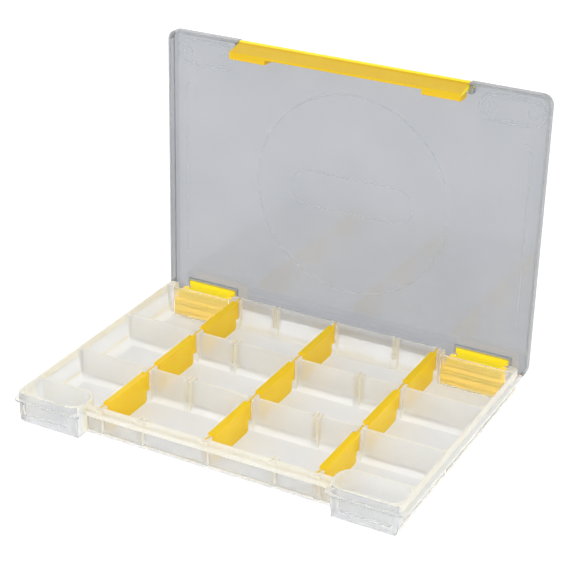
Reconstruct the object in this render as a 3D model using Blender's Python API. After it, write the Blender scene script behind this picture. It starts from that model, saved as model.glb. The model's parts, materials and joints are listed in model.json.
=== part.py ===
# Shallow compartment box for fishing tackle, modelled open.
#
# Pieces: one moulded tray, one lid, a long front latch, nine lift-out dividers, and two
# hinges of three pieces each (base, leaf, pin).
# Frame: metres, +Z up, +Y towards the hinges, origin at the middle of the tray's underside.
# Shapes are written in millimetres with the lid closed, then placed at their joints.

import math

import bmesh
import bpy
from mathutils import Vector

MM = 0.001

# Tray, outside
TRAY_HALF_WIDTH = 134.5
TRAY_HALF_DEPTH = 89.9          # recessed front wall to back wall, without the corner pockets
RIM = 24.0                      # top edge of every wall
WALL = 1.3
FLOOR = 1.5
ROW_PITCH = 59.5                # front wall, two cross walls and back wall are this far apart
OUTER_ROUND = 7.5               # bottom edges of each row, outside
INNER_ROUND = 6.2               # bottom edges of each row, inside
CORNER_ROUND = 3.7              # upright corners of each row, inside
SIDE_ROUND = 8.0                # bottom edges under the side walls
DRAFT = 1.2                     # the side walls lean in by this much at the foot
FRONT_DRAFT = 0.3               # the same, for the front wall

# Front corner pockets
POCKET_INNER_END = 86.5         # outside of the pocket's round end, from the middle
POCKET_FRONT = -99.0
POCKET_BACK = -74.5
POCKET_WALL = 1.5
POCKET_FRONT_WALL = 2.0         # thicker, because a panel is sunk into it from outside
POCKET_ROUND = 5.0              # bottom edges of a pocket, inside
PANEL_ENDS = (96.0, 129.0)      # the sunk panel, from the middle of the box
PANEL_LOW = 8.8
PANEL_HIGH = 17.0
PANEL_DEEP = 0.8

# Ledge that carries the closed lid
LEDGE_TOP = 19.0
LEDGE_THICK = 1.3
LEDGE_HALF_WIDTH = 137.6
LEDGE_FRONT = -100.8
LEDGE_LATCH = -92.9             # front of the bar that the latch hooks under
BAR_TOP = 20.7
LEDGE_BACK = 91.5

# Divider slots
DIVIDER_X = (-76.5, 0.0, 76.5)
SPARE_SLOT_X = (-46.5, 46.5)
SLOT_GAP = 1.8
RIB_THICK = 1.4
RIB_REACH = 4.5                 # from the middle of the wall to the front of a rib
SLOT_FOOT = 9.3                 # the slot is closed below this height
CHANNEL_REACH = 1.4             # a slot's channel stands this far out of the outer wall

# Dividers
DIVIDER_THICK = 1.2
DIVIDER_HALF = 22.9             # half length of the plate below its tabs
TAB_END = 29.4                  # half length over the tabs
TAB_BOTTOM = 9.6
PLATE_BOTTOM = 2.0
RAIL_WIDTH = 5.3
RAIL_THICK = 1.6
RAIL_HALF = 23.0

# Hinges
HINGE_Y = 92.55
HINGE_Z = 17.65
HINGE_CENTRE = 105.0            # middle of each hinge, from the middle of the box
BAY_HALF = 23.0                 # half width of the bay in the back wall
BAY_WALL = 83.1                 # outside of the wall at the back of the compartment
PIN_RADIUS = 1.1
PIN_HALF = 19.7
PIN_HOLE = 1.45
KNUCKLE_RADIUS = 2.3
KNUCKLE_HALF = 16.7
EAR_RADIUS = 2.8
EAR_INNER = 17.1                # an ear's two faces, from the middle of its hinge
EAR_OUTER = 19.9
EAR_FRONT = 87.0
EAR_BACK = 93.2
BLOCK_TOP = 13.8                # lower, wide part of the hinge base
BLOCK_BACK = 93.7
SHELF_TOP = 20.8                # upper, narrow part of the hinge base
SHELF_HALF = 20.0
SHELF_BACK = 88.4
STRIP_FRONT = 87.3              # strip of the leaf that clips under the lid
STRIP_BACK = 91.4
STRIP_BOTTOM = 22.8
STRIP_HALF = 18.7
LID_OPEN_DEGREES = 90.6

# Lid, closed
LID_HALF_WIDTH = 138.0
LID_FRONT = -101.0
LID_BACK = 97.7
LID_TOP = 26.1
LID_INSIDE = 24.9
SKIRT_BOTTOM = 19.3
SKIRT_WALL = 1.6
CHEEK_THICK = 2.5               # lid walls that hold the ends of the latch
CHEEK_BACK = -93.5
CLIP_THICK = 1.4                # raised edges in the lid around each hinge strip
CLIP_DEEP = 1.6

# Latch, with the lid closed
LATCH_Y = -97.8
LATCH_Z = 22.6
LATCH_RADIUS = 3.3
LATCH_HALF = 83.2
LATCH_PIN_RADIUS = 1.25
LATCH_HOLE = 1.65
LATCH_TIP = 7.2                 # lower edge of the flap
HOOK_LENGTH = 27.0
HOOK_INSIDE = -91.7
HOOK_TOP = 17.2

GAP = 0.3                       # between pieces that touch


# ---------------------------------------------------------------- shaping

def rounded(corners, steps=4):
    """Outline with an arc at each corner, from (u, v, radius) corners in order."""
    points = []
    for index, (u, v, radius) in enumerate(corners):
        corner = Vector((u, v))
        if radius == 0:
            points.append(corner)
            continue
        back = (Vector(corners[index - 1][:2]) - corner).normalized()
        ahead = (Vector(corners[(index + 1) % len(corners)][:2]) - corner).normalized()
        half = back.angle(ahead) / 2
        centre = corner + (back + ahead).normalized() * radius / math.sin(half)
        reach = radius / math.tan(half)
        first = corner + back * reach - centre
        last = corner + ahead * reach - centre
        start = math.atan2(first.y, first.x)
        turn = math.atan2(last.y, last.x) - start
        turn = (turn + math.pi) % (2 * math.pi) - math.pi
        for step in range(steps + 1):
            angle = start + turn * step / steps
            points.append(centre + Vector((math.cos(angle), math.sin(angle))) * radius)
    return points


def arc(u, v, radius, start, end, steps):
    """Points on an arc, with the angles in degrees."""
    points = []
    for step in range(steps + 1):
        angle = math.radians(start + (end - start) * step / steps)
        points.append(Vector((u + radius * math.cos(angle), v + radius * math.sin(angle))))
    return points


def rectangle(u0, u1, v0, v1, radius=0.0):
    return [(u0, v0, radius), (u1, v0, radius), (u1, v1, radius), (u0, v1, radius)]


def prism(outline, low, high, axis="Z"):
    """Solid with the given outline, from low to high along an axis, as a new object."""
    place = {
        "X": lambda u, v, w: (w, u, v),
        "Y": lambda u, v, w: (u, w, v),
        "Z": lambda u, v, w: (u, v, w),
    }[axis]
    bm = bmesh.new()
    verts = [bm.verts.new(Vector(place(u, v, low)) * MM) for u, v in outline]
    base = bm.faces.new(verts)
    grown = bmesh.ops.extrude_face_region(bm, geom=[base])["geom"]
    moved = [item for item in grown if isinstance(item, bmesh.types.BMVert)]
    shift = (Vector(place(0, 0, high)) - Vector(place(0, 0, low))) * MM
    bmesh.ops.translate(bm, verts=moved, vec=shift)
    bmesh.ops.recalc_face_normals(bm, faces=bm.faces)
    return to_object(bm)


def box(x0, x1, y0, y1, z0, z1):
    return prism([Vector((x0, y0)), Vector((x1, y0)), Vector((x1, y1)), Vector((x0, y1))], z0, z1)


def basin(x0, x1, y0, y1, z0, z1, radius):
    """Box whose four bottom edges are round."""
    block = box(x0, x1, y0, y1, z0, z1)
    bm = bmesh.new()
    bm.from_mesh(block.data)
    low = z0 * MM + 1e-6
    edges = [edge for edge in bm.edges if all(vert.co.z < low for vert in edge.verts)]
    bmesh.ops.bevel(bm, geom=edges, offset=radius * MM, segments=4, profile=0.5, affect="EDGES")
    bm.to_mesh(block.data)
    bm.free()
    return block


def cylinder(y, z, radius, x0, x1, sides=16):
    """Round bar along X."""
    turn = 180.0 / sides
    ring = arc(y, z, radius, turn, 360.0 + turn, sides)[:-1]
    return prism(ring, x0, x1, "X")


def to_object(bm):
    mesh = bpy.data.meshes.new("shape")
    bm.to_mesh(mesh)
    bm.free()
    made = bpy.data.objects.new("shape", mesh)
    bpy.context.scene.collection.objects.link(made)
    return made


def combine(target, tools, operation):
    """Join, cut or intersect the target with each tool in turn; the tools are used up."""
    for tool in tools:
        step = target.modifiers.new("step", "BOOLEAN")
        step.object = tool
        step.operation = operation
        step.solver = "EXACT"
        bpy.context.view_layer.update()
        solved = target.evaluated_get(bpy.context.evaluated_depsgraph_get())
        mesh = bpy.data.meshes.new_from_object(solved)
        target.modifiers.clear()
        target.data = mesh
        bpy.data.objects.remove(tool)
    return target


def join(target, *tools):
    return combine(target, tools, "UNION")


def cut(target, *tools):
    return combine(target, tools, "DIFFERENCE")


def keep_inside(target, *tools):
    return combine(target, tools, "INTERSECT")


def name_piece(piece, name, material, parent=None, origin=(0.0, 0.0, 0.0)):
    """Name a piece, give it its material and move its origin onto a point in millimetres."""
    piece.name = name
    piece.data.name = name
    piece.data.materials.clear()
    piece.data.materials.append(material)
    shift = Vector(origin) * MM
    for vert in piece.data.vertices:
        vert.co -= shift
    piece.data.shade_smooth()
    piece.data.set_sharp_from_angle(angle=math.radians(30))
    piece.location = shift
    if parent is not None:
        piece.parent = parent
        piece.location = shift - parent_origin(parent)
    return piece


def parent_origin(parent):
    return Vector(parent["closed_origin"]) * MM


def material(name, colour, roughness, transmission=0.0):
    made = bpy.data.materials.new(name)
    made.use_nodes = True
    shader = made.node_tree.nodes["Principled BSDF"]
    shader.inputs["Base Color"].default_value = (*colour, 1.0)
    shader.inputs["Roughness"].default_value = roughness
    shader.inputs["Transmission Weight"].default_value = transmission
    return made


# ---------------------------------------------------------------- tray

def row_edges():
    """Middle of the front wall, the two cross walls and the back wall."""
    return [(index - 1.5) * ROW_PITCH for index in range(4)]


def tray_plan():
    """Outline of the walls from above, with the pockets."""
    right = [
        (POCKET_INNER_END, -TRAY_HALF_DEPTH, 0),
        (POCKET_INNER_END, POCKET_FRONT, 9.0),
        (TRAY_HALF_WIDTH, POCKET_FRONT, 4.5),
        (TRAY_HALF_WIDTH, TRAY_HALF_DEPTH, 3.0),
    ]
    left = [(-u, v, radius) for u, v, radius in reversed(right)]
    return rounded(right + left)


def row_profile():
    """Side view of the underside: three round-bottomed rows with a groove between them."""
    middles = row_edges()
    reach = OUTER_ROUND - WALL / 2
    groove = math.degrees(math.acos(reach / OUTER_ROUND))
    front_foot = -TRAY_HALF_DEPTH + FRONT_DRAFT
    outline = [Vector((-TRAY_HALF_DEPTH, RIM))]
    outline += arc(front_foot + OUTER_ROUND, OUTER_ROUND, OUTER_ROUND, 180, 270, 5)
    for middle in middles[1:3]:
        outline += arc(middle - reach, OUTER_ROUND, OUTER_ROUND, 270, 360 - groove, 4)
        outline += arc(middle + reach, OUTER_ROUND, OUTER_ROUND, 180 + groove, 270, 4)[1:]
    back_round = OUTER_ROUND / 2
    outline += arc(TRAY_HALF_DEPTH - back_round, back_round, back_round, 270, 360, 4)
    outline.append(Vector((TRAY_HALF_DEPTH, RIM)))
    return outline


def width_profile(inset=0.0, floor=0.0):
    """Front view of the side walls: upright at the rim, leaning in, then round underneath."""
    side = TRAY_HALF_WIDTH - inset
    radius = SIDE_ROUND - inset
    centre = side - DRAFT - radius
    high = RIM + 9.0
    outline = [Vector((-side, high)), Vector((-side, LEDGE_TOP))]
    outline += arc(-centre, floor + radius, radius, 180, 270, 5)
    outline += arc(centre, floor + radius, radius, 270, 360, 5)
    outline += [Vector((side, LEDGE_TOP)), Vector((side, high))]
    return outline


def tray_outside():
    """Solid block of the tray's outer shape, with its ledge."""
    body = prism(row_profile(), -TRAY_HALF_WIDTH - 5, TRAY_HALF_WIDTH + 5, "X")
    for side in (-1, 1):
        ends = sorted((side * POCKET_INNER_END, side * (TRAY_HALF_WIDTH + 5)))
        join(body, basin(*ends, POCKET_FRONT, -60.0, 0.0, RIM, OUTER_ROUND))
    keep_inside(body, prism(width_profile(), -120.0, 120.0, "Y"))
    keep_inside(body, prism(tray_plan(), -5.0, RIM + 5.0))
    for side in (-1, 1):
        cut(body, pocket_panel(side))
        for middle in row_edges()[1:3]:
            cut(body, side_crease(side, middle))
    for side in (-1, 1):
        ends = sorted((side * (HINGE_CENTRE - BAY_HALF), side * (HINGE_CENTRE + BAY_HALF)))
        cut(body, box(*ends, BAY_WALL, 110.0, FLOOR, RIM + 5.0))
    for x in slot_places():
        channel = (x - SLOT_GAP / 2 - RIB_THICK, x + SLOT_GAP / 2 + RIB_THICK)
        reach = TRAY_HALF_DEPTH + CHANNEL_REACH
        join(body, box(*channel, -reach, -80.0, OUTER_ROUND, RIM - 1.0))
        join(body, box(*channel, 80.0, reach, OUTER_ROUND, RIM - 1.0))
    join(body, ledge())
    bar_end = POCKET_INNER_END + 1.0
    return join(body, box(-bar_end, bar_end, LEDGE_LATCH, -88.7, LEDGE_TOP - LEDGE_THICK, BAR_TOP))


def pocket_panel(side):
    """Cutter for the shallow panel on the front of a pocket."""
    ends = sorted((side * PANEL_ENDS[0], side * PANEL_ENDS[1]))
    outline = rounded(rectangle(*ends, PANEL_LOW, PANEL_HIGH, 2.0), 3)
    return prism(outline, POCKET_FRONT - 2.0, POCKET_FRONT + PANEL_DEEP, "Y")


def side_crease(side, middle):
    """Cutter for the crease in a side wall, where two rows' round corners meet at a cross wall."""
    radius = CORNER_ROUND + WALL
    reach = radius - WALL / 2
    centre = TRAY_HALF_WIDTH - radius
    turn = math.degrees(math.asin(reach / radius))
    outline = arc(centre, middle + reach, radius, 0, -turn, 4)
    outline += arc(centre, middle - reach, radius, turn, 0, 4)[1:]
    outside = TRAY_HALF_WIDTH + 5.0
    outline += [Vector((outside, middle - reach)), Vector((outside, middle + reach))]
    return prism([Vector((side * u, v)) for u, v in outline], -5.0, LEDGE_TOP - LEDGE_THICK / 2)


def ledge():
    bay_in = HINGE_CENTRE - BAY_HALF
    bay_out = HINGE_CENTRE + BAY_HALF
    inner_end = POCKET_INNER_END - 2.3
    right = [
        (inner_end, LEDGE_LATCH, 0),
        (inner_end, LEDGE_FRONT, 7.5),
        (LEDGE_HALF_WIDTH, LEDGE_FRONT, 6.5),
        (LEDGE_HALF_WIDTH, LEDGE_BACK, 4.0),
        (bay_out, LEDGE_BACK, 0),
        (bay_out, TRAY_HALF_DEPTH - 4, 0),
        (bay_in, TRAY_HALF_DEPTH - 4, 0),
        (bay_in, LEDGE_BACK, 0),
    ]
    left = [(-u, v, radius) for u, v, radius in reversed(right)]
    plate = prism(rounded(right + left), LEDGE_TOP - LEDGE_THICK, LEDGE_TOP)
    for side in (-1, 1):
        ends = sorted((side * bay_in, side * bay_out))
        cut(plate, box(*ends, BAY_WALL - 1.0, 110.0, 0.0, RIM))
    return plate


def slot_places():
    return sorted(DIVIDER_X + SPARE_SLOT_X)


def row_space(front, back, front_row, back_row):
    """Cutter for the inside of one row, with the rib blocks of its slots left standing."""
    inside = TRAY_HALF_WIDTH - WALL
    outside = inside + 20.0
    front_face = front + WALL / 2
    back_face = back - WALL / 2
    space = basin(-inside, inside, front_face, back_face, FLOOR, RIM + 5.0, INNER_ROUND)
    plan = rounded(rectangle(-inside, inside, front_face, back_face, CORNER_ROUND))
    keep_inside(space, prism(plan, FLOOR - 2.0, RIM + 8.0))
    keep_inside(space, prism(width_profile(WALL, FLOOR), -120.0, 120.0, "Y"))
    for side in (-1, 1):
        if front_row:
            corner = pocket_corners(side, POCKET_INNER_END, outside, -110.0, POCKET_BACK, 3.0)
            cut(space, prism(rounded(corner), -2.0, RIM + 10.0))
        if back_row:
            ends = sorted((side * (HINGE_CENTRE - BAY_HALF - WALL), side * outside))
            cut(space, box(*ends, BAY_WALL - WALL, 110.0, -2.0, RIM + 10.0))
    half = SLOT_GAP / 2 + RIB_THICK
    for x in slot_places():
        cut(space, box(x - half, x + half, front - 2.0, front + RIB_REACH, -2.0, RIM + 10.0))
        cut(space, box(x - half, x + half, back - RIB_REACH, back + 2.0, -2.0, RIM + 10.0))
    return space


def pocket_corners(side, inner, outer, front, back, outer_round):
    """Corners of a pocket's plan, half round at the end nearest the middle of the box."""
    end_round = 10.4
    corners = [
        (side * inner, front, end_round),
        (side * outer, front, outer_round),
        (side * outer, back, outer_round),
        (side * inner, back, end_round),
    ]
    return corners if side > 0 else list(reversed(corners))


def pocket_space(side):
    inner = POCKET_INNER_END + POCKET_WALL
    outer = TRAY_HALF_WIDTH - WALL
    front = POCKET_FRONT + POCKET_FRONT_WALL
    back = POCKET_BACK - POCKET_WALL
    space = basin(*sorted((side * inner, side * outer)), front, back, FLOOR, RIM + 5.0, POCKET_ROUND)
    plan = rounded(pocket_corners(side, inner, outer, front, back, 7.5), 7)
    sides = prism(width_profile(WALL, FLOOR), -120.0, 120.0, "Y")
    return keep_inside(space, prism(plan, FLOOR - 2.0, RIM + 8.0), sides)


def make_tray(plastic):
    tray = tray_outside()
    edges = row_edges()
    for index in range(3):
        cut(tray, row_space(edges[index], edges[index + 1], index == 0, index == 2))
    for side in (-1, 1):
        cut(tray, pocket_space(side))
    for middle in edges:
        for x in slot_places():
            half = SLOT_GAP / 2
            low, high = slot_reach(middle)
            cut(tray, box(x - half, x + half, low, high, SLOT_FOOT, RIM + 3.0))
    return name_piece(tray, "tray", plastic)


def slot_reach(middle):
    """Front and back of a slot: open inwards, and through the wall where it is a cross wall."""
    low = middle - RIB_REACH - 1.0
    high = middle + RIB_REACH + 1.0
    if middle < -ROW_PITCH:
        low = middle
    if middle > ROW_PITCH:
        high = middle
    return low, high


# ---------------------------------------------------------------- dividers

def make_divider():
    """One lift-out divider, centred on its row, shared by all nine."""
    top = RIM - 0.2
    plate = rounded([
        (-TAB_END, top, 0),
        (-TAB_END, TAB_BOTTOM, 0.6),
        (-DIVIDER_HALF, TAB_BOTTOM, 0),
        (-DIVIDER_HALF, PLATE_BOTTOM, 2.5),
        (DIVIDER_HALF, PLATE_BOTTOM, 2.5),
        (DIVIDER_HALF, TAB_BOTTOM, 0),
        (TAB_END, TAB_BOTTOM, 0.6),
        (TAB_END, top, 0),
    ])
    divider = prism(plate, -DIVIDER_THICK / 2, DIVIDER_THICK / 2, "X")
    half = RAIL_WIDTH / 2
    rail = rounded(rectangle(-half, half, -RAIL_HALF, RAIL_HALF, 1.2))
    return join(divider, prism(rail, RIM - RAIL_THICK, RIM))


def place_dividers(plastic):
    pattern = make_divider()
    name_piece(pattern, "divider_pattern", plastic)
    edges = row_edges()
    for row, row_name in enumerate(("front", "middle", "back")):
        for x, side_name in zip(DIVIDER_X, ("left", "centre", "right")):
            divider = bpy.data.objects.new(f"divider_{row_name}_{side_name}", pattern.data)
            divider.location = Vector((x, (edges[row] + edges[row + 1]) / 2, 0.0)) * MM
            bpy.context.scene.collection.objects.link(divider)
    bpy.data.objects.remove(pattern)


# ---------------------------------------------------------------- hinges

def make_hinge_base(centre):
    """Block in the bay of the back wall, with an ear at each end for the pin."""
    wall = BAY_WALL + GAP
    foot = FLOOR + GAP
    lower = [(wall, foot, 1.0), (BLOCK_BACK, foot, 1.0), (BLOCK_BACK, BLOCK_TOP, 0.8), (wall, BLOCK_TOP, 0)]
    half = BAY_HALF - GAP
    block = prism(rounded(lower, 2), centre - half, centre + half, "X")
    root = BLOCK_TOP - 2.0
    upper = [(wall, root, 0), (SHELF_BACK, root, 0), (SHELF_BACK, SHELF_TOP, 0.8), (wall, SHELF_TOP, 0.8)]
    join(block, prism(rounded(upper, 2), centre - SHELF_HALF, centre + SHELF_HALF, "X"))
    for side in (-1, 1):
        ends = sorted((centre + side * EAR_INNER, centre + side * EAR_OUTER))
        ear = [Vector((EAR_FRONT, root + 1.0)), Vector((EAR_BACK, root + 1.0))]
        ear += arc(HINGE_Y, HINGE_Z, EAR_RADIUS, -65, 90, 6)
        ear.append(Vector((EAR_FRONT, HINGE_Z + EAR_RADIUS)))
        join(block, prism(ear, *ends, "X"))
    return cut(block, cylinder(HINGE_Y, HINGE_Z, PIN_HOLE, centre - BAY_HALF, centre + BAY_HALF))


def make_hinge_leaf(centre):
    """Knuckle on the pin, joined by a web to the strip that clips under the lid."""
    top = LID_INSIDE - GAP
    strip = [
        (STRIP_FRONT, STRIP_BOTTOM, 0.5),
        (STRIP_BACK, STRIP_BOTTOM, 0),
        (STRIP_BACK, top, 0),
        (STRIP_FRONT, top, 0),
    ]
    leaf = prism(rounded(strip, 2), centre - STRIP_HALF, centre + STRIP_HALF, "X")
    web = [Vector(point) for point in ((90.0, 24.0), (90.0, 22.0), (91.6, 18.0), (93.6, 18.0), (91.9, 24.0))]
    knuckle = (centre - KNUCKLE_HALF, centre + KNUCKLE_HALF)
    join(leaf, prism(web, *knuckle, "X"))
    join(leaf, cylinder(HINGE_Y, HINGE_Z, KNUCKLE_RADIUS, *knuckle, 18))
    return cut(leaf, cylinder(HINGE_Y, HINGE_Z, PIN_HOLE, centre - BAY_HALF, centre + BAY_HALF))


def make_hinges(plastic, pin_plastic, lid_axis):
    for side, side_name in ((-1, "left"), (1, "right")):
        centre = side * HINGE_CENTRE
        name_piece(make_hinge_base(centre), f"hinge_base_{side_name}", plastic)
        pin = cylinder(HINGE_Y, HINGE_Z, PIN_RADIUS, centre - PIN_HALF, centre + PIN_HALF)
        name_piece(pin, f"hinge_pin_{side_name}", pin_plastic, None, (centre, HINGE_Y, HINGE_Z))
        leaf = make_hinge_leaf(centre)
        name_piece(leaf, f"hinge_leaf_{side_name}", plastic, lid_axis, (centre, HINGE_Y, HINGE_Z))


# ---------------------------------------------------------------- lid and latch

def lid_corners(inset):
    side = LID_HALF_WIDTH - inset
    return [
        (-side, LID_FRONT + inset, 7.0 - inset),
        (side, LID_FRONT + inset, 7.0 - inset),
        (side, LID_BACK - inset, 9.0 - inset),
        (-side, LID_BACK - inset, 9.0 - inset),
    ]


def make_lid(plastic, lid_axis):
    lid = prism(rounded(lid_corners(0.0), 6), SKIRT_BOTTOM, LID_TOP)
    soften_top(lid, 1.2)
    cut(lid, prism(rounded(lid_corners(SKIRT_WALL), 6), SKIRT_BOTTOM - 5.0, LID_INSIDE))
    bay_edge = LATCH_HALF + GAP
    for side in (-1, 1):
        ends = sorted((side * (bay_edge - 1.0), side * (bay_edge + CHEEK_THICK)))
        join(lid, box(*ends, LID_FRONT + 0.4, CHEEK_BACK, SKIRT_BOTTOM + 0.2, LID_INSIDE + 0.6))
    latch_back = LATCH_Y + LATCH_RADIUS + 0.4
    cut(lid, box(-bay_edge, bay_edge, LID_FRONT - 5.0, latch_back, SKIRT_BOTTOM - 5.0, LID_TOP + 5.0))
    cut(lid, cylinder(LATCH_Y, LATCH_Z, LATCH_HOLE, -LATCH_HALF - 5.0, LATCH_HALF + 5.0))
    for side in (-1, 1):
        join(lid, clip_frame(side * HINGE_CENTRE))
    return name_piece(lid, "lid", plastic, lid_axis, (0.0, HINGE_Y, HINGE_Z))


def clip_frame(centre):
    """Raised edge on the lid's inside that goes round three sides of a hinge strip."""
    near = STRIP_HALF + 0.4
    far = near + CLIP_THICK
    front = STRIP_FRONT - 0.4
    high = LID_INSIDE + 0.5
    low = LID_INSIDE - CLIP_DEEP
    frame = box(centre - far, centre + far, front - CLIP_THICK, STRIP_BACK - 0.2, low, high)
    return cut(frame, box(centre - near, centre + near, front, STRIP_BACK + 5.0, RIM - 5.0, high + 5.0))


def soften_top(piece, radius):
    """Round the upper edge of a plate."""
    bm = bmesh.new()
    bm.from_mesh(piece.data)
    high = max(vert.co.z for vert in bm.verts) - 1e-6
    edges = [edge for edge in bm.edges if all(vert.co.z > high for vert in edge.verts)]
    bmesh.ops.bevel(bm, geom=edges, offset=radius * MM, segments=2, profile=0.5, affect="EDGES")
    bm.to_mesh(piece.data)
    bm.free()


def make_latch(plastic, lid_axis):
    """Full-length flap on a round back, with a thick hook near each end."""
    latch = cylinder(LATCH_Y, LATCH_Z, LATCH_RADIUS, -LATCH_HALF, LATCH_HALF, 24)
    flap = [Vector(point) for point in ((-99.9, 21.5), (-97.0, LATCH_TIP), (-95.4, LATCH_TIP), (-96.6, 21.5))]
    join(latch, prism(flap, -LATCH_HALF, LATCH_HALF, "X"))
    for side in (-1, 1):
        ends = sorted((side * (LATCH_HALF - HOOK_LENGTH), side * (LATCH_HALF - 0.2)))
        hook = rounded([
            (-96.4, LATCH_TIP + 0.1, 0),
            (HOOK_INSIDE, LATCH_TIP + 0.1, 0.8),
            (HOOK_INSIDE, HOOK_TOP, 0.6),
            (-97.3, HOOK_TOP, 0),
        ], 2)
        join(latch, prism(hook, *ends, "X"))
        ends = sorted((side * (LATCH_HALF - 2.0), side * (LATCH_HALF + 2.4)))
        join(latch, cylinder(LATCH_Y, LATCH_Z, LATCH_PIN_RADIUS, *ends))
    return name_piece(latch, "front_latch", plastic, lid_axis, (0.0, LATCH_Y, LATCH_Z))


def make_lid_axis():
    """Empty on the hinge axis; turning it opens the lid and what is fixed to it."""
    axis = bpy.data.objects.new("lid_axis", None)
    axis["closed_origin"] = (0.0, HINGE_Y, HINGE_Z)
    axis.location = Vector((0.0, HINGE_Y, HINGE_Z)) * MM
    bpy.context.scene.collection.objects.link(axis)
    return axis


def main():
    for old in list(bpy.data.objects):
        bpy.data.objects.remove(old)
    clear = material("clear_polypropylene", (0.80, 0.81, 0.80), 0.35, 0.6)
    yellow = material("yellow_polypropylene", (0.84, 0.62, 0.03), 0.4)
    pin_plastic = material("pin_plastic", (0.80, 0.78, 0.70), 0.35)
    make_tray(clear)
    place_dividers(yellow)
    lid_axis = make_lid_axis()
    make_hinges(yellow, pin_plastic, lid_axis)
    make_lid(clear, lid_axis)
    make_latch(yellow, lid_axis)
    lid_axis.rotation_euler.x = -math.radians(LID_OPEN_DEGREES)


main()
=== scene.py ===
import json
import math

import bmesh
import bpy
from mathutils import Matrix, Vector


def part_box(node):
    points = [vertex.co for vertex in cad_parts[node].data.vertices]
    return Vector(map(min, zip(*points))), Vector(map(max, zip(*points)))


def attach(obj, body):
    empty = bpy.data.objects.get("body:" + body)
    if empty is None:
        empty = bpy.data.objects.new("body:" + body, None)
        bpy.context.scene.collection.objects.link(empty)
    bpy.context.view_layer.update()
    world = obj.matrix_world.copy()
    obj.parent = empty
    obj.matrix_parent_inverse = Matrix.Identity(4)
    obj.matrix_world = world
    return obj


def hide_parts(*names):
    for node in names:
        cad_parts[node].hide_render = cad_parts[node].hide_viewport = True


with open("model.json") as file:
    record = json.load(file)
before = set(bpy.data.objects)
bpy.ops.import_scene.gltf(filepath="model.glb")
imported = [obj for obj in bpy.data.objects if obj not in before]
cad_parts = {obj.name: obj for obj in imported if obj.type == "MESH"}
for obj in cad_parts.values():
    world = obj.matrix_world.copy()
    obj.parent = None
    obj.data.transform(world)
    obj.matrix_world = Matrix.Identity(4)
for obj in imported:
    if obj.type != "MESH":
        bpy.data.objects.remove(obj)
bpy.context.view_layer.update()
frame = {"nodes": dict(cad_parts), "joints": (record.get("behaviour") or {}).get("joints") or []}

mm = 0.001

# The lid stands open at rest. What is added to it is laid out closed, in millimetres, and then turned on
# the hinge.
hinge = frame["joints"][0]  # the lid's
hingePoint = Vector(hinge["pos_m"])
openLid = (
    Matrix.Translation(hingePoint)
    @ Matrix.Rotation(math.radians(hinge["range_deg"][0]), 4, "X")
    @ Matrix.Translation(-hingePoint)
)

facing = 0.9  # a face points along an axis when its normal is this near to it

cleanup = {  # millimetres and degrees
    "sameVert": 0.02,
    "sliver": 0.06,
    "flat": 0.5,
    "sharpEdge": 40.0,
}


def srgb(code):  # hex to linear
    parts = [int(code[i:i + 2], 16) / 255 for i in (0, 2, 4)]
    return tuple(p / 12.92 if p <= 0.04045 else ((p + 0.055) / 1.055) ** 2.4 for p in parts) + (1.0,)


def perMetre(size):  # pattern scale that repeats every so many millimetres
    return 1.0 / (size * mm)


def addNode(tree, kind, settings, links):
    node = tree.nodes.new(kind)
    for key, value in settings.items():
        if hasattr(node, str(key)):
            setattr(node, key, value)
        else:
            node.inputs[key].default_value = value
    for key, source in links.items():
        tree.links.new(source, node.inputs[key])
    return node


def addPiece(name, bm, body, materials, replaced=(), sharp=35.0):
    mesh = bpy.data.meshes.new(name)
    bm.to_mesh(mesh)
    bm.free()
    mesh.shade_smooth()
    mesh.set_sharp_from_angle(angle=math.radians(sharp))
    for material in materials:
        mesh.materials.append(material)
    piece = bpy.data.objects.new(name, mesh)
    bpy.context.scene.collection.objects.link(piece)
    weighted = piece.modifiers.new("weightedNormals", "WEIGHTED_NORMAL")
    weighted.keep_sharp = True
    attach(piece, body)
    if replaced:
        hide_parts(*replaced)


def mergeFlat(bm):
    limit = math.radians(cleanup["flat"])
    bmesh.ops.dissolve_limit(bm, angle_limit=limit, verts=bm.verts, edges=bm.edges)


# A CAD mesh is loose triangles. The copy is merged into whole flat faces before it is worked on.
def cleanCopy(nodeName):
    bm = bmesh.new()
    bm.from_mesh(frame["nodes"][nodeName].data)
    bmesh.ops.remove_doubles(bm, verts=bm.verts, dist=cleanup["sameVert"] * mm)
    bmesh.ops.dissolve_degenerate(bm, edges=bm.edges, dist=cleanup["sliver"] * mm)
    mergeFlat(bm)
    return bm


def roundEdges(bm, edges, width, segments=2):
    chosen = set(edges)
    bmesh.ops.bevel(
        bm, geom=[edge for edge in bm.edges if edge in chosen], offset=width * mm, offset_type="OFFSET",
        affect="EDGES", segments=segments, profile=0.5, clamp_overlap=False, material=-1,
    )


def sharpEdges(bm):
    limit = math.radians(cleanup["sharpEdge"])
    return [edge for edge in bm.edges if edge.is_manifold and edge.calc_face_angle() > limit]


def block(bm, low, high, rounding=0.0, segments=2):  # corners in millimetres
    low, high = Vector(low) * mm, Vector(high) * mm
    place = Matrix.Translation((low + high) / 2) @ Matrix.Diagonal(high - low).to_4x4()
    verts = bmesh.ops.create_cube(bm, size=1.0, matrix=place)["verts"]
    if rounding:
        roundEdges(bm, {edge for vert in verts for edge in vert.link_edges}, rounding, segments)


def dome(bm, centre, radii, rings):  # a ball squashed to three radii
    place = Matrix.Translation(Vector(centre) * mm) @ Matrix.Diagonal(Vector(radii) * mm).to_4x4()
    bmesh.ops.create_uvsphere(bm, u_segments=2 * rings, v_segments=rings, radius=1.0, matrix=place)


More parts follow.
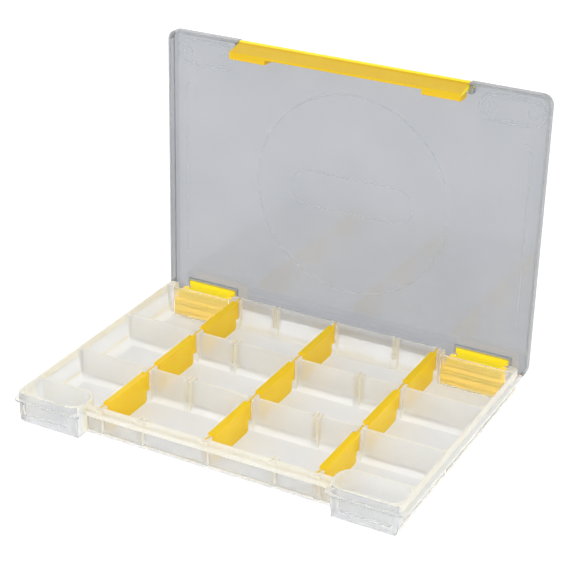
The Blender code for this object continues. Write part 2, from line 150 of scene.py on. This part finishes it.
# A raised line round a flat closed outline. It hangs from the surface, which is the closed lid's inner face.
def raisedLoop(bm, outline, width, height, surface):
    verts = [bm.verts.new((u * mm, v * mm, surface * mm)) for u, v in outline]
    face = bm.faces.new(verts)
    face.normal_update()
    inner = bmesh.ops.inset_region(bm, faces=[face], use_boundary=True, thickness=width * mm)["faces"]
    bmesh.ops.delete(bm, geom=[face], context="FACES_ONLY")
    raiseStrip(bm, inner, height)


def raiseStrip(bm, faces, height):
    grown = bmesh.ops.extrude_face_region(bm, geom=faces, use_keep_orig=True)["geom"]
    verts = [item for item in grown if isinstance(item, bmesh.types.BMVert)]
    bmesh.ops.translate(bm, verts=verts, vec=(0.0, 0.0, -height * mm))
    top = {edge for vert in verts for edge in vert.link_edges if edge.other_vert(vert) in verts}
    rim = [edge for edge in top if edge.calc_face_angle(0.0) > math.radians(cleanup["sharpEdge"])]
    roundEdges(bm, rim, height * 0.45, 1)  # nearly half, so that the line is domed


def stadium(x0, x1, y0, y1, steps=10):  # outline with half-round ends
    radius = (y1 - y0) / 2
    points = []
    for centre, start in ((x1 - radius, -90.0), (x0 + radius, 90.0)):
        for step in range(steps + 1):
            angle = math.radians(start + 180.0 * step / steps)
            points.append((centre + radius * math.cos(angle), y0 + radius + radius * math.sin(angle)))
    return points


# A pattern's clear and milky are its two tints. Its cloud and grain are the sizes in millimetres of its
# cloudiness and of its satin, its rough is a range of roughness, and its bump is the depth of the satin in
# millimetres. The satin of a real mould is much finer, and is drawn this coarse so that it shows.

# Natural polypropylene, injection moulded against a fine satin steel: milky, lets light through but blurs
# what is behind it, and keeps a soft gloss. Polypropylene's IOR is 1.49, but at that the edges of the thin
# walls come out dark, so the tray has 1.22. All its finishes have the same one, because a face with another
# shows as a dark line. The faint emission stands in for light that gathers in thin walls.
naturalFinish = {
    "IOR": 1.22,
    "Transmission Weight": 0.6,
    "Subsurface Weight": 1.0,  # what isn't passed straight through is scattered inside, not lost
    "Subsurface Scale": 0.004,
    "Subsurface Radius": (1.0, 0.97, 0.88),
    "Emission Color": srgb("fafbff"),
    "Emission Strength": 0.06,
    "Coat Weight": 0.7,
    "Coat Roughness": 0.05,
    "Coat IOR": 1.45,
}
naturalPattern = {
    "clear": "fdfdfb", "milky": "faf9f3",
    "cloud": 38.0, "grain": 0.5, "rough": (0.30, 0.42), "bump": 0.02,
}

# Compartment floors, the same plastic polished a little more: cooler, and they mirror the walls faintly.
bottomFinish = {
    "IOR": 1.22,
    "Transmission Weight": 0.6,
    "Subsurface Weight": 1.0,
    "Subsurface Scale": 0.004,
    "Subsurface Radius": (1.0, 0.99, 0.98),
    "Coat Weight": 0.8,
    "Coat Roughness": 0.06,
    "Coat IOR": 1.45,
}
bottomPattern = {
    "clear": "fafaf9", "milky": "f4f5f5",
    "cloud": 45.0, "grain": 0.5, "rough": (0.30, 0.42), "bump": 0.02,
}

# The same plastic on its thin edges and ribs: nearly white, hardly see-through and glowing. The pale tint and
# the glow are a painted highlight, standing in for light that gathers in thin edges.
edgeHighlightFinish = {
    "IOR": 1.22,
    "Transmission Weight": 0.3,
    "Subsurface Weight": 1.0,
    "Subsurface Scale": 0.004,
    "Subsurface Radius": (1.0, 0.97, 0.88),
    "Emission Color": srgb("fff8ea"),
    "Emission Strength": 0.09,
    "Coat Weight": 0.2,
    "Coat Roughness": 0.08,
    "Coat IOR": 1.4,
}
edgeHighlightPattern = {
    "clear": "f6f3e6", "milky": "f0ebdb",
    "cloud": 12.0, "grain": 0.5, "rough": (0.26, 0.36), "bump": 0.02,
}

# The same plastic on the outside of the tray, against smoother steel: clearer, cooler and a little greyer.
outsideFinish = {
    "IOR": 1.22,
    "Transmission Weight": 0.72,
    "Subsurface Weight": 1.0,
    "Subsurface Scale": 0.004,
    "Subsurface Radius": (1.0, 0.99, 0.98),
    "Coat Weight": 0.4,
    "Coat Roughness": 0.05,
    "Coat IOR": 1.45,
}
outsidePattern = {
    "clear": "eaecf0", "milky": "e4e6ea",
    "cloud": 30.0, "grain": 0.5, "rough": (0.16, 0.26), "bump": 0.01,
}

# The same plastic, polished, in front of each hinge: the hinge block shows through.
windowFinish = {
    "IOR": 1.22,
    "Transmission Weight": 0.88,
    "Subsurface Weight": 1.0,
    "Subsurface Scale": 0.004,
    "Subsurface Radius": (1.0, 0.97, 0.88),
    "Coat Weight": 0.5,
    "Coat Roughness": 0.05,
}
windowPattern = {
    "clear": "fefefc", "milky": "fbfaf6",
    "cloud": 20.0, "grain": 0.5, "rough": (0.10, 0.16), "bump": 0.01,
}

# Clarified polypropylene of the lid, injection moulded against polished steel: clearer, cool grey, glossy.
lidFinish = {
    "IOR": 1.49,
    "Transmission Weight": 0.80,
    "Coat Weight": 0.4,
    "Coat Roughness": 0.04,
    "Coat IOR": 1.49,
}
lidPattern = {
    "clear": "c3c5ca", "milky": "bcbfc5",
    "cloud": 55.0, "grain": 0.9, "rough": (0.10, 0.17), "bump": 0.0004,
}

# The same plastic in the lid's narrow rims: more scatter, so they stand out as a soft grey outline.
lidEdgeFinish = {
    "IOR": 1.3,
    "Transmission Weight": 0.3,
    "Subsurface Weight": 1.0,
    "Subsurface Scale": 0.003,
    "Subsurface Radius": (1.0, 1.0, 1.0),
    "Coat Weight": 0.3,
    "Coat Roughness": 0.06,
    "Coat IOR": 1.49,
}
lidEdgePattern = {
    "clear": "b8bcbe", "milky": "b2b6b8",
    "cloud": 14.0, "grain": 0.7, "rough": (0.14, 0.22), "bump": 0.01,
}

# Polypropylene with a yellow masterbatch, injection moulded: dense colour that glows a little where the
# part is thin.
yellowFinish = {
    "IOR": 1.49,
    "Subsurface Weight": 0.35,
    "Subsurface Scale": 0.002,
    "Subsurface Radius": (1.0, 0.65, 0.1),
    "Specular IOR Level": 0.3,
    "Coat Weight": 0.1,
    "Coat Roughness": 0.12,
}
yellowPattern = {
    "clear": "ffd90c", "milky": "fdd205",
    "cloud": 20.0, "grain": 0.6, "rough": (0.32, 0.44), "bump": 0.03,
}

# The latch's yellow, a little darker: painted shade, so that the flap and the feet of the latch look as if
# they lie in their own shade.
latchShadePattern = dict(yellowPattern, clear="f7cc10", milky="f3c60c")

# The dividers are the same plastic with a glow added: painted light, standing in for the light from under the
# tray that comes through them.
dividerGlowFinish = dict(yellowFinish, **{"Emission Color": srgb("ffcc10"), "Emission Strength": 0.14})

# The hinge blocks: a paler yellow that lets some light through, with a glow. The pale tint and the glow are
# painted light, standing in for daylight coming through the blocks.
glowFinish = {
    "IOR": 1.3,
    "Transmission Weight": 0.35,
    "Subsurface Weight": 1.0,
    "Subsurface Scale": 0.006,
    "Subsurface Radius": (1.0, 0.8, 0.35),
    "Emission Color": srgb("ffdc60"),
    "Emission Strength": 0.3,
}
glowPattern = {
    "clear": "ffea74", "milky": "ffe35e",
    "cloud": 9.0, "grain": 0.6, "rough": (0.36, 0.46), "bump": 0.02,
}

# The same plastic, paler and more like lemon, with a glow: painted light, which draws the thin leaves of the
# hinges as if lit from behind. The barrel of the latch gets it too, as a painted highlight and the brightest
# part of the latch.
lemonGlowFinish = dict(yellowFinish, **{"Emission Color": srgb("ffe63c"), "Emission Strength": 0.25})
lemonGlowPattern = dict(yellowPattern, clear="ffea30", milky="ffe326")

# Lines moulded into the lid: the lid's plastic, paler and with a faint glow. The pale tint and the glow are
# painted light, so that the lines show pale against the lid.
lineFinish = {
    "IOR": 1.2,
    "Transmission Weight": 0.6,
    "Emission Color": srgb("f4f8fa"),
    "Emission Strength": 0.1,
    "Subsurface Weight": 1.0,
    "Subsurface Scale": 0.002,
    "Subsurface Radius": (1.0, 1.0, 1.0),
}
linePattern = {
    "clear": "eceeed", "milky": "e2e5e5",
    "cloud": 30.0, "grain": 0.7, "rough": (0.2, 0.3), "bump": 0.01,
}

# Extruded acetal rod for the pins: waxy off-white.
pinFinish = {
    "IOR": 1.48,
    "Subsurface Weight": 0.3,
    "Subsurface Scale": 0.001,
}
pinPattern = {
    "clear": "f6f3ea", "milky": "ebe7da",
    "cloud": 3.0, "grain": 0.3, "rough": (0.28, 0.38), "bump": 0.02,
}


moulding = {
    "tintStops": (0.3, 0.7),  # how sharply milky and clear parts divide
    "cloudDetail": 3.0,
    "fineDetail": 2.0,
    "patches": 3,             # dull patches in the size of one cloud
    "bumpStrength": 0.35,
}


def mouldedPlastic(name, finish, pattern):
    made = bpy.data.materials.new(name)
    made.use_nodes = True
    tree = made.node_tree
    shader = tree.nodes["Principled BSDF"]
    for key, value in finish.items():
        shader.inputs[key].default_value = value
    place = addNode(tree, "ShaderNodeTexCoord", {}, {}).outputs["Object"]
    fine = moulding["fineDetail"]
    # cloudiness from the flow of the melt
    cloudScale = perMetre(pattern["cloud"])
    cloudSettings = {"Scale": cloudScale, "Detail": moulding["cloudDetail"]}
    cloud = addNode(tree, "ShaderNodeTexNoise", cloudSettings, {"Vector": place})
    tint = addNode(tree, "ShaderNodeValToRGB", {}, {"Fac": cloud.outputs["Fac"]})
    for stop, position, tone in zip(tint.color_ramp.elements, moulding["tintStops"], ("milky", "clear")):
        stop.position = position
        stop.color = srgb(pattern[tone])
    tree.links.new(tint.outputs["Color"], shader.inputs["Base Color"])
    # patches that are a little duller
    patchScale = perMetre(pattern["cloud"] / moulding["patches"])
    patch = addNode(tree, "ShaderNodeTexNoise", {"Scale": patchScale, "Detail": fine}, {"Vector": place})
    low, high = pattern["rough"]
    dullness = {"Value": patch.outputs["Fac"]}
    rough = addNode(tree, "ShaderNodeMapRange", {"To Min": low, "To Max": high}, dullness)
    tree.links.new(rough.outputs["Result"], shader.inputs["Roughness"])
    # satin grain of the mould
    grainScale = perMetre(pattern["grain"])
    grain = addNode(tree, "ShaderNodeTexNoise", {"Scale": grainScale, "Detail": fine}, {"Vector": place})
    bumpSettings = {"Strength": moulding["bumpStrength"], "Distance": pattern["bump"] * mm}
    bump = addNode(tree, "ShaderNodeBump", bumpSettings, {"Height": grain.outputs["Fac"]})
    tree.links.new(bump.outputs["Normal"], shader.inputs["Normal"])
    return made


naturalPolypropylene = mouldedPlastic("naturalPolypropylene", naturalFinish, naturalPattern)
edgeHighlightPolypropylene = mouldedPlastic("edgeHighlightPolypropylene", edgeHighlightFinish, edgeHighlightPattern)
lidPolypropylene = mouldedPlastic("lidPolypropylene", lidFinish, lidPattern)
lidEdgePolypropylene = mouldedPlastic("lidEdgePolypropylene", lidEdgeFinish, lidEdgePattern)
# the darker yellow of the latch is painted shade
shadedLatchPolypropylene = mouldedPlastic("shadedLatchPolypropylene", yellowFinish, latchShadePattern)
outsidePolypropylene = mouldedPlastic("outsidePolypropylene", outsideFinish, outsidePattern)
bottomPolypropylene = mouldedPlastic("bottomPolypropylene", bottomFinish, bottomPattern)
lemonGlowPolypropylene = mouldedPlastic("lemonGlowPolypropylene", lemonGlowFinish, lemonGlowPattern)
windowPolypropylene = mouldedPlastic("windowPolypropylene", windowFinish, windowPattern)
dividerGlowPolypropylene = mouldedPlastic("dividerGlowPolypropylene", dividerGlowFinish, yellowPattern)
glowPolypropylene = mouldedPlastic("glowPolypropylene", glowFinish, glowPattern)
linePolypropylene = mouldedPlastic("linePolypropylene", lineFinish, linePattern)
pinAcetal = mouldedPlastic("pinAcetal", pinFinish, pinPattern)
print("plastics made")


tray = {
    "rowPitch": 59.5,         # front wall, two cross walls and back wall are this far apart
    "rows": 4,                # of walls
    "slots": (-76.5, -46.5, 0.0, 46.5, 76.5),
    "rim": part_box("tray")[1].z / mm,
    "wall": 1.3,
    "slotGap": 1.8,
    "ribThick": 1.4,
    "edgeRound": 0.22,
    "thinFace": 1.75,         # a face narrower than this is an edge of a wall or rib
    "ribFace": 7.5,           # the same, for the sides of the ribs
    "ledgeFace": 3.4,         # the same, for the ledge and the latch's bar
    "ledgeFoot": 17.0,
    "rimFoot": 22.6,
    "sideX": 85.0,            # beyond this only the rim is paler
    "rimX": 131.0,            # and beyond this only the sides of ribs are
    "floorTop": 3.0,
    "outsideX": 120.6,        # beyond these a face that points away is on the outside of the box
    "outsideY": 79.2,
    "bayWall": (81.5, 83.4),  # back wall in front of the hinges
    "baySlack": 20.0,         # how far past the hinge block its uncut face may be centred
    "bayFlat": 0.99,
    "cutSnap": 0.001,
}

trayFinish = {"natural": 0, "edge": 1, "window": 2, "outside": 3, "bottom": 4}  # material slots of the tray


def wallMiddles():
    return [(index - (tray["rows"] - 1) / 2) * tray["rowPitch"] for index in range(tray["rows"])]


# Mean width of a long thin face, in millimetres.
def faceWidth(face):
    return 2 * face.calc_area() / face.calc_perimeter() / mm


# Which finish a tray face gets. The edge finish, a painted highlight, goes on thin edges, sides of ribs and
# narrow ledge faces.
def faceFinish(face):
    width = faceWidth(face)
    centre = face.calc_center_median() / mm
    normal = face.normal
    onRim = centre.z > tray["rimFoot"] and abs(centre.x) < tray["rimX"]
    mayBePale = abs(centre.x) < tray["sideX"] or onRim
    ledge = centre.z > tray["ledgeFoot"] and (normal.z > facing or normal.y < -facing)
    if mayBePale and width < tray["thinFace"]:
        return "edge"
    if abs(normal.x) > facing and width < tray["ribFace"]:
        return "edge"
    if mayBePale and ledge and width < tray["ledgeFace"]:
        return "edge"
    if centre.x * normal.x > tray["outsideX"] or centre.y * normal.y > tray["outsideY"]:
        return "outside"
    if centre.z < tray["floorTop"] and normal.z > facing:
        return "bottom"
    return "natural"


# The back wall's flat faces whose middles lie between two places across the box.
def bayFaces(bm, low, high):
    near, far = tray["bayWall"]
    found = []
    for face in bm.faces:
        centre = face.calc_center_median()
        flat = abs(face.normal.y) > tray["bayFlat"] and near < centre.y / mm < far
        if flat and low < centre.x < high:
            found.append(face)
    return found


# The back wall is cut at both ends of each hinge block, and what lies between gets the polished finish.
def polishBayWalls(bm):
    slack = tray["baySlack"] * mm
    for nodeName in ("hinge_base_left", "hinge_base_right"):
        low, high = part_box(nodeName)
        for end in (low.x, high.x):
            cut = bayFaces(bm, low.x - slack, high.x + slack)
            touched = {item for face in cut for item in (face, *face.edges, *face.verts)}
            everything = list(bm.verts) + list(bm.edges) + list(bm.faces)
            bmesh.ops.bisect_plane(
                bm, geom=[item for item in everything if item in touched], dist=tray["cutSnap"] * mm,
                plane_co=(end, 0.0, 0.0), plane_no=(1.0, 0.0, 0.0),
            )
        for face in bayFaces(bm, low.x, high.x):
            if faceWidth(face) > tray["thinFace"]:
                face.material_index = trayFinish["window"]


def makeTray():
    bm = cleanCopy("tray")
    for face in bm.faces:
        face.material_index = trayFinish[faceFinish(face)]
    roundEdges(bm, sharpEdges(bm), tray["edgeRound"])
    polishBayWalls(bm)
    plastics = [
        naturalPolypropylene, edgeHighlightPolypropylene, windowPolypropylene, outsidePolypropylene,
        bottomPolypropylene,
    ]
    addPiece("trayShell", bm, "tray", plastics, ["tray"])


ribTop = {"nub": (0.7, 1.2, 0.6), "lug": (2.1, 0.75, 0.6), "rings": 6}  # radii of the two kinds of stop


# Small stops on top of the ribs: a pointed one on the right of each slot, a round lug on the left.
def makeRibTops():
    bm = bmesh.new()
    out = tray["slotGap"] / 2 + tray["ribThick"] / 2
    for middle in wallMiddles():
        for x in tray["slots"]:
            dome(bm, (x + out, middle, tray["rim"]), ribTop["nub"], ribTop["rings"])
            lugX = x - out - ribTop["lug"][0] / 2
            dome(bm, (lugX, middle, tray["rim"]), ribTop["lug"], ribTop["rings"])
    # the stops get the pale edge plastic, whose glow is a painted highlight
    addPiece("ribTops", bm, "tray", [edgeHighlightPolypropylene])


frontBead = {
    "end": 86.0,
    "height": 6.2,
    "half": 0.5,
    "proud": 0.45,            # how far it stands out of the wall, and how deep it is set into it
    "sunk": 0.4,
    "round": 0.25,
}


# Thin bead along the foot of the front wall, between the channels of the slots. It is in the pale edge
# plastic: a painted highlight, standing in for the lit lower edge of the wall.
def makeFrontBead():
    bm = bmesh.new()
    half = tray["slotGap"] / 2 + tray["ribThick"]
    channels = [edge for x in tray["slots"] for edge in (x - half, x + half)]
    stops = [-frontBead["end"]] + channels + [frontBead["end"]]
    front = wallMiddles()[0] - tray["wall"] / 2
    for start, end in zip(stops[::2], stops[1::2]):
        low = (start, front - frontBead["proud"], frontBead["height"] - frontBead["half"])
        high = (end, front + frontBead["sunk"], frontBead["height"] + frontBead["half"])
        block(bm, low, high, frontBead["round"])
    addPiece("frontBead", bm, "tray", [edgeHighlightPolypropylene])


makeTray()
makeRibTops()
makeFrontBead()
print("tray made")


divider = {
    "railRound": 0.55,
    "plateRound": 0.2,
    "railFoot": 22.3,         # underside of the rail
    "railHalf": 23.0,         # half its length
    "plateHalf": 1.2,         # edges nearer the middle than this belong to the plate
    "knobInset": 1.3,         # knobs at the ends of the rail, from its side and its end
    "knobSunk": 0.15,
    "knob": (1.25, 1.1, 0.75),
    "rings": 6,
}


def isRailEdge(edge, middleX):
    onTop = min(vert.co.z for vert in edge.verts) > divider["railFoot"] * mm
    return onTop and max(abs(vert.co.x - middleX) for vert in edge.verts) > divider["plateHalf"] * mm


def makeDivider(nodeName):
    bm = cleanCopy(nodeName)
    low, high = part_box(nodeName)
    middle = (low + high) / 2
    edges = sharpEdges(bm)
    rail = [edge for edge in edges if isRailEdge(edge, middle.x)]
    plate = [edge for edge in edges if edge not in rail]
    roundEdges(bm, rail, divider["railRound"], 3)
    roundEdges(bm, [edge for edge in plate if edge.is_valid], divider["plateRound"], 1)
    knobX = (high.x - middle.x) / mm - divider["knobInset"]
    knobY = divider["railHalf"] - divider["knobInset"]
    knobZ = high.z / mm - divider["knobSunk"]
    for side in (-1, 1):
        for end in (-1, 1):
            place = (middle.x / mm + side * knobX, middle.y / mm + end * knobY, knobZ)
            dome(bm, place, divider["knob"], divider["rings"])
    body = nodeName + "_body"
    addPiece(nodeName + "Moulded", bm, body, [dividerGlowPolypropylene], [nodeName])


for nodeName in sorted(frame["nodes"]):
    if nodeName.startswith("divider_"):
        makeDivider(nodeName)
print("dividers made")


hingeBase = {
    "round": 0.3,
    "grooves": (4.6, 10.2, 12.4, 16.6, 18.8),  # heights
    "grooveHalf": 0.6,
    "grooveDeep": 1.0,
    "cutSnap": 0.001,
    "onCut": 0.01,
    "onFront": 0.05,
    "slope": (0.2, 0.95),     # a groove's sides lean between these
    "sharp": 28.0,
}
hingeLeaf = {"round": 0.25}
hingePin = {"round": 0.25}


def makeHingeBase(side):
    nodeName = "hinge_base_" + side
    bm = cleanCopy(nodeName)
    roundEdges(bm, sharpEdges(bm), hingeBase["round"])
    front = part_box(nodeName)[0].y
    # grooves across the face that leans on the back wall
    for height in hingeBase["grooves"]:
        for offset in (-1, 0, 1):
            level = (0.0, 0.0, (height + offset * hingeBase["grooveHalf"]) * mm)
            bmesh.ops.bisect_plane(
                bm, geom=list(bm.verts) + list(bm.edges) + list(bm.faces), dist=hingeBase["cutSnap"] * mm,
                plane_co=level, plane_no=(0.0, 0.0, 1.0),
            )
        for vert in bm.verts:
            onCut = abs(vert.co.z - height * mm) < hingeBase["onCut"] * mm
            if onCut and vert.co.y < front + hingeBase["onFront"] * mm:
                vert.co.y += hingeBase["grooveDeep"] * mm
    bm.normal_update()
    # the sloping sides of the grooves get the glowing lemon yellow: a painted highlight, so that the grooves
    # show as bands
    low, high = hingeBase["slope"]
    for face in bm.faces:
        inGroove = face.calc_center_median().y < front + hingeBase["grooveDeep"] * mm
        face.material_index = 1 if inGroove and low < abs(face.normal.z) < high else 0
    plastics = [glowPolypropylene, lemonGlowPolypropylene]
    pieceName = nodeName + "Moulded"
    addPiece(pieceName, bm, "tray", plastics, [nodeName], hingeBase["sharp"])


def makeHingeLeaf(side):
    nodeName = "hinge_leaf_" + side
    bm = cleanCopy(nodeName)
    roundEdges(bm, sharpEdges(bm), hingeLeaf["round"])
    addPiece(nodeName + "Moulded", bm, "lid", [lemonGlowPolypropylene], [nodeName])


def makeHingePin(side):
    nodeName = "hinge_pin_" + side
    bm = cleanCopy(nodeName)
    roundEdges(bm, sharpEdges(bm), hingePin["round"])
    addPiece(nodeName + "Turned", bm, "tray", [pinAcetal], [nodeName])


for side in ("left", "right"):
    makeHingeBase(side)
    makeHingeLeaf(side)
    makeHingePin(side)
print("hinges made")


lid = {
    "edgeRound": 0.3,
    "thinFace": 2.2,          # a face narrower than this is a rim
}

lidLines = {
    "surface": 24.93,         # the closed lid's inner face, and a hair more
    "line": 0.09,             # how far the lines stand out
    "stadiumX": (88.5, 134.0),
    "stadiumY": (-95.8, -76.4),
    "stadiumWidth": 0.9,
    "innerGap": 2.2,          # a second line runs this far inside the first
    "innerWidth": 0.5,
    "spotInset": 9.0,         # small rings near both ends of each stadium
    "spotHalf": 3.4,
    "spotY": (-89.5, -82.7),
    "spotWidth": 0.5,
    "spotLine": 0.12,
    "ringCentre": (2.0, -4.8),
    "ringRadius": 71.5,
    "ringWidth": 0.8,
    "ringSteps": 40,
    "fieldHalf": (46.0, 13.0),
    "fieldWidth": 0.7,
}

lidGuide = {"x": 126.0, "y": (64.0, -60.0), "width": 0.9, "outer": 6.0, "inner": 5.1, "steps": 5}


def makeLid():
    bm = cleanCopy("lid")
    for face in bm.faces:
        face.material_index = 1 if faceWidth(face) < lid["thinFace"] else 0
    roundEdges(bm, sharpEdges(bm), lid["edgeRound"])
    addPiece("lidShell", bm, "lid", [lidPolypropylene, lidEdgePolypropylene], ["lid"])


def guideOutline(side):  # upright line with a hook that turns in at the top
    x = lidGuide["x"]
    foot, top = lidGuide["y"]
    edge = x + lidGuide["width"]
    steps = lidGuide["steps"]
    points = [(edge, foot), (edge, top)]
    for radius, order in ((lidGuide["outer"], range(1, steps + 1)), (lidGuide["inner"], range(steps, 0, -1))):
        for step in order:
            angle = math.radians(90.0 * step / steps)
            u = edge - lidGuide["outer"] + radius * math.cos(angle)
            points.append((u, top - radius * math.sin(angle)))
    points += [(x, top), (x, foot)]
    return [(side * u, v) for u, v in points]


def makeLidLines():
    bm = bmesh.new()
    surface = lidLines["surface"]
    line = lidLines["line"]
    x0, x1 = lidLines["stadiumX"]
    y0, y1 = lidLines["stadiumY"]
    gap = lidLines["innerGap"]
    inset = lidLines["spotInset"]
    spot = lidLines["spotHalf"]
    for side in (-1, 1):
        ends = sorted((side * x0, side * x1))
        outer = stadium(*ends, y0, y1)
        raisedLoop(bm, outer, lidLines["stadiumWidth"], line, surface)
        inner = stadium(ends[0] + gap, ends[1] - gap, y0 + gap, y1 - gap)
        raisedLoop(bm, inner, lidLines["innerWidth"], line, surface)
        for end in ends:
            centre = end + (inset if end == ends[0] else -inset)
            ring = stadium(centre - spot, centre + spot, *lidLines["spotY"])
            raisedLoop(bm, ring, lidLines["spotWidth"], lidLines["spotLine"], surface)
        guide = [bm.verts.new((u * mm, v * mm, surface * mm)) for u, v in guideOutline(side)]
        raiseStrip(bm, [bm.faces.new(guide)], line)
    cx, cy = lidLines["ringCentre"]
    radius = lidLines["ringRadius"]
    ring = stadium(cx - radius, cx + radius, cy - radius, cy + radius, lidLines["ringSteps"])
    raisedLoop(bm, ring, lidLines["ringWidth"], line, surface)
    hx, hy = lidLines["fieldHalf"]
    raisedLoop(bm, stadium(cx - hx, cx + hx, cy - hy, cy + hy), lidLines["fieldWidth"], line, surface)
    bmesh.ops.recalc_face_normals(bm, faces=bm.faces)
    bmesh.ops.transform(bm, matrix=openLid, verts=bm.verts)
    addPiece("lidLines", bm, "lid", [linePolypropylene])


makeLid()
makeLidLines()
print("lid made")


latch = {
    "tip": 7.2,               # closed: the flap's lower edge, and half its length
    "half": 83.2,
    "footTop": 20.0,
    "snapDown": 0.2,          # feet nearer than this end flush
    "snapAcross": 0.25,
    "round": 0.35,
    "innerFace": (-96.6, -95.2),
    "barrelFoot": 20.4,
}


def makeLatch():
    bm = cleanCopy("front_latch")
    bmesh.ops.transform(bm, matrix=openLid.inverted(), verts=bm.verts)
    # the feet end flush with the lower edge of the flap and with its ends
    half = latch["half"] * mm
    for vert in bm.verts:
        if vert.co.z < (latch["tip"] + latch["snapDown"]) * mm:
            vert.co.z = latch["tip"] * mm
        if abs(abs(vert.co.x) - half) < latch["snapAcross"] * mm and vert.co.z < latch["footTop"] * mm:
            vert.co.x = math.copysign(half, vert.co.x)
    bmesh.ops.remove_doubles(bm, verts=bm.verts, dist=cleanup["sameVert"] * mm)
    mergeFlat(bm)
    # the edges of the flap's inner face stay sharp, because the hooks leave slivers there
    low, high = latch["innerFace"]
    outer = []
    for edge in sharpEdges(bm):
        if not all(low < vert.co.y / mm < high for vert in edge.verts):
            outer.append(edge)
    roundEdges(bm, outer, latch["round"])
    # the barrel gets the glowing lemon yellow: a painted highlight along it. The rest of the latch keeps the
    # darker yellow, which is painted shade
    for face in bm.faces:
        face.material_index = 1 if face.calc_center_median().z > latch["barrelFoot"] * mm else 0
    bmesh.ops.transform(bm, matrix=openLid, verts=bm.verts)
    plastics = [shadedLatchPolypropylene, lemonGlowPolypropylene]
    addPiece("latchMoulded", bm, "latch", plastics, ["front_latch"])


makeLatch()
print("latch made")


studio = {
    "floorRadius": 12.0,      # metres
    "floorSides": 64,
    "floorColour": "8c8c8c",
    "floorRough": 0.9,
    "floorDrop": 0.5,         # millimetres under the tray, so the two never meet
    "floorGlow": 0.88,
    "front": 1.1,             # sky brightness towards the latch side
    "back": 1.3,
    "frontToBack": (-1.0, 0.4),
    "top": -0.7,              # change overhead
    "sidesToTop": (0.2, 1.0),
}

softboxes = [
    {
        "name": "stripSoftbox", "place": (-670.0, 30.0, 1450.0), "size": 240.0,
        "power": 0.9, "colour": "ffffff",
    },
    {
        "name": "coolSoftbox", "place": (-1100.0, -300.0, 500.0), "size": 600.0,
        "power": 0.5, "colour": "d6e2ff",
    },
]


def makeFloor():
    bm = bmesh.new()
    sides = studio["floorSides"]
    bmesh.ops.create_circle(bm, cap_ends=True, segments=sides, radius=studio["floorRadius"])
    bmesh.ops.translate(bm, verts=bm.verts, vec=(0.0, 0.0, -studio["floorDrop"] * mm))
    mesh = bpy.data.meshes.new("floor")
    bm.to_mesh(mesh)
    bm.free()
    # opal acrylic light table: lit from below, so it throws almost no shadow
    opal = bpy.data.materials.new("opalAcrylic")
    opal.use_nodes = True
    shader = opal.node_tree.nodes["Principled BSDF"]
    shader.inputs["Base Color"].default_value = srgb(studio["floorColour"])
    shader.inputs["Roughness"].default_value = studio["floorRough"]
    shader.inputs["Emission Color"].default_value = srgb("ffffff")
    shader.inputs["Emission Strength"].default_value = studio["floorGlow"]
    mesh.materials.append(opal)
    floor = bpy.data.objects.new("floor", mesh)
    bpy.context.scene.collection.objects.link(floor)


def makeSky():
    world = bpy.data.worlds.new("studioSky")
    world.use_nodes = True
    bpy.context.scene.world = world
    tree = world.node_tree
    way = addNode(tree, "ShaderNodeTexCoord", {}, {}).outputs["Generated"]
    axes = addNode(tree, "ShaderNodeSeparateXYZ", {}, {"Vector": way}).outputs
    start, end = studio["frontToBack"]
    settings = {"From Min": start, "From Max": end, "To Min": studio["front"], "To Max": studio["back"]}
    sides = addNode(tree, "ShaderNodeMapRange", settings, {"Value": axes["Y"]})
    start, end = studio["sidesToTop"]
    settings = {"From Min": start, "From Max": end, "To Min": 0.0, "To Max": studio["top"]}
    above = addNode(tree, "ShaderNodeMapRange", settings, {"Value": axes["Z"]})
    both = addNode(tree, "ShaderNodeMath", {"operation": "ADD"}, {0: sides.outputs[0], 1: above.outputs[0]})
    tree.links.new(both.outputs[0], tree.nodes["Background"].inputs["Strength"])
    tree.nodes["Background"].inputs["Color"].default_value = (1.0, 1.0, 1.0, 1.0)


def makeSoftbox(setup):
    data = bpy.data.lights.new(setup["name"], "AREA")
    data.size = setup["size"] * mm
    data.energy = setup["power"]
    data.color = srgb(setup["colour"])[:3]
    light = bpy.data.objects.new(setup["name"], data)
    bpy.context.scene.collection.objects.link(light)
    place = Vector(setup["place"]) * mm
    turn = (-place).to_track_quat("-Z", "Y").to_matrix()
    light.matrix_world = Matrix.Translation(place) @ turn.to_4x4()


makeFloor()
makeSky()
for setup in softboxes:
    makeSoftbox(setup)
bpy.context.scene.view_settings.view_transform = "Standard"
print("studio made")


cameraView = {
    "lens": 102.84,
    "sensor": 36.0,
    "place": (434.7, -819.3, 541.2),
    "aim": (-7.5, 25.7, 77.9),
    "roll": 0.995,
    "near": 0.05,             # metres
    "far": 60.0,
}


def makeCamera(setup):
    data = bpy.data.cameras.new("camera")
    data.lens = setup["lens"]
    data.sensor_width = setup["sensor"]
    data.clip_start = setup["near"]
    data.clip_end = setup["far"]
    camera = bpy.data.objects.new("camera", data)
    bpy.context.scene.collection.objects.link(camera)
    place = Vector(setup["place"]) * mm
    look = Vector(setup["aim"]) * mm - place
    roll = Matrix.Rotation(math.radians(setup["roll"]), 3, "Z")
    turn = look.to_track_quat("-Z", "Y").to_matrix() @ roll
    camera.matrix_world = Matrix.Translation(place) @ turn.to_4x4()
    bpy.context.scene.camera = camera


makeCamera(cameraView)
